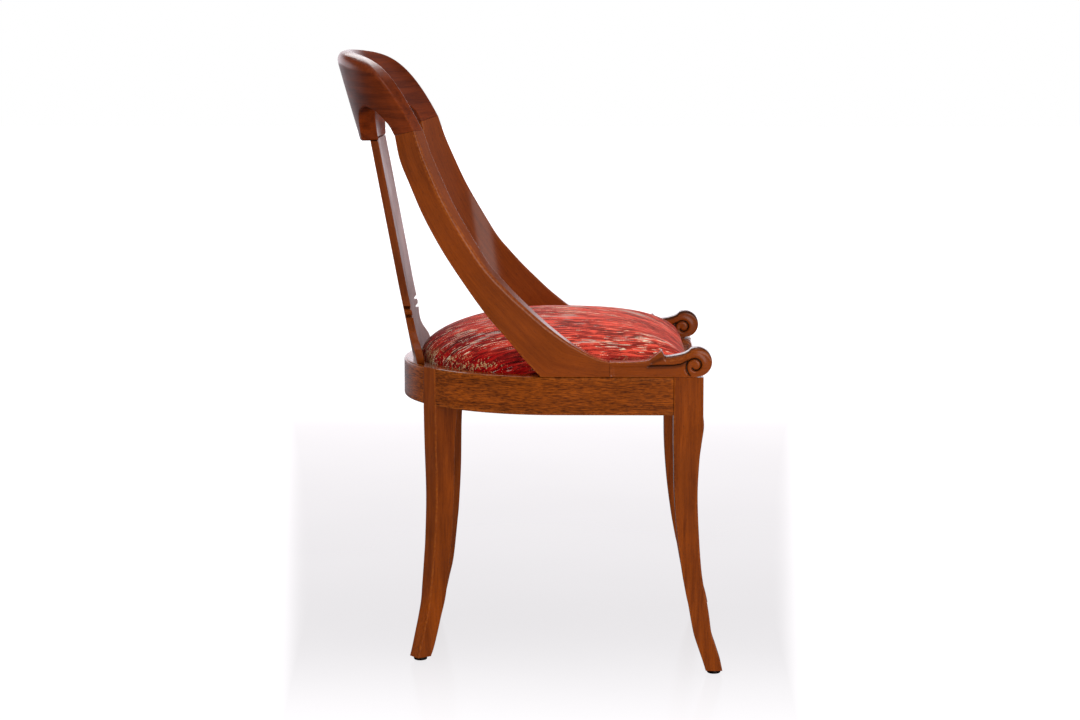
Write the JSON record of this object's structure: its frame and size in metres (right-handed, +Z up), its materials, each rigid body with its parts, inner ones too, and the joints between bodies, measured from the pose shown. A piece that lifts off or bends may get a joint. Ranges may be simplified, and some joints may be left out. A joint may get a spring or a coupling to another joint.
{
  "type": "klismos chair",
  "caption": "Sabre-legged dining chair with a wrapped crest rail, swept stiles ending in scrolls, a vase splat and a domed upholstered slip seat.",
  "frame": {"origin": "middle of the footprint on the floor, under the chair's bounding box", "axes": "+Z up; the sitter faces -Y; +X is to the sitter's left, and X = 0 is the plane of symmetry"},
  "size_m": [0.4622, 0.548, 0.857],
  "materials": {
    "frame_mahogany": "figured mahogany veneer under a glossy lacquer",
    "golden_mahogany": "golden brown mahogany under a glossy lacquer",
    "red_mahogany": "dark red mahogany under a glossy lacquer",
    "beech": "bare planed wood",
    "plywood": "bare sanded board",
    "filling": "soft open filling",
    "jacquard": "coral red satin jacquard with grey-beige and black woven streaks",
    "black_cloth": "thin matt lining cloth",
    "steel": "plain satin steel",
    "dark_steel": "darkened steel, dull"
  },
  "bodies": {
    "root": {"front_leg_right": "frame_mahogany", "rear_leg_right": "frame_mahogany", "side_rail_right": "frame_mahogany", "glide_front_right": "dark_steel", "glide_rear_right": "dark_steel", "stile_right": "golden_mahogany", "scroll_block_right": "golden_mahogany", "crest_dowel_right_1": "beech", "crest_dowel_right_2": "beech", "stile_dowel_right_1": "beech", "stile_dowel_right_2": "beech", "scroll_dowel_right_1": "beech", "scroll_dowel_right_2": "beech", "corner_block_front_right": "beech", "corner_block_rear_right": "beech", "block_screw_front_side_right": "steel", "block_screw_front_face_right": "steel", "block_screw_rear_back_right": "steel", "block_screw_rear_side_right": "steel", "seat_screw_front_right": "steel", "seat_screw_rear_right": "steel", "front_leg_left": "frame_mahogany", "rear_leg_left": "frame_mahogany", "side_rail_left": "frame_mahogany", "glide_front_left": "dark_steel", "glide_rear_left": "dark_steel", "stile_left": "golden_mahogany", "scroll_block_left": "golden_mahogany", "crest_dowel_left_1": "beech", "crest_dowel_left_2": "beech", "stile_dowel_left_1": "beech", "stile_dowel_left_2": "beech", "scroll_dowel_left_1": "beech", "scroll_dowel_left_2": "beech", "corner_block_front_left": "beech", "corner_block_rear_left": "beech", "block_screw_front_side_left": "steel", "block_screw_front_face_left": "steel", "block_screw_rear_back_left": "steel", "block_screw_rear_side_left": "steel", "seat_screw_front_left": "steel", "seat_screw_rear_left": "steel", "back_rail": "frame_mahogany", "front_rail": "frame_mahogany", "splat": "red_mahogany", "crest_rail": "red_mahogany", "seat_board": "plywood", "dust_cover": "black_cloth", "seat_foam": "filling", "seat_cover": "jacquard"}
  },
  "joints": []
}
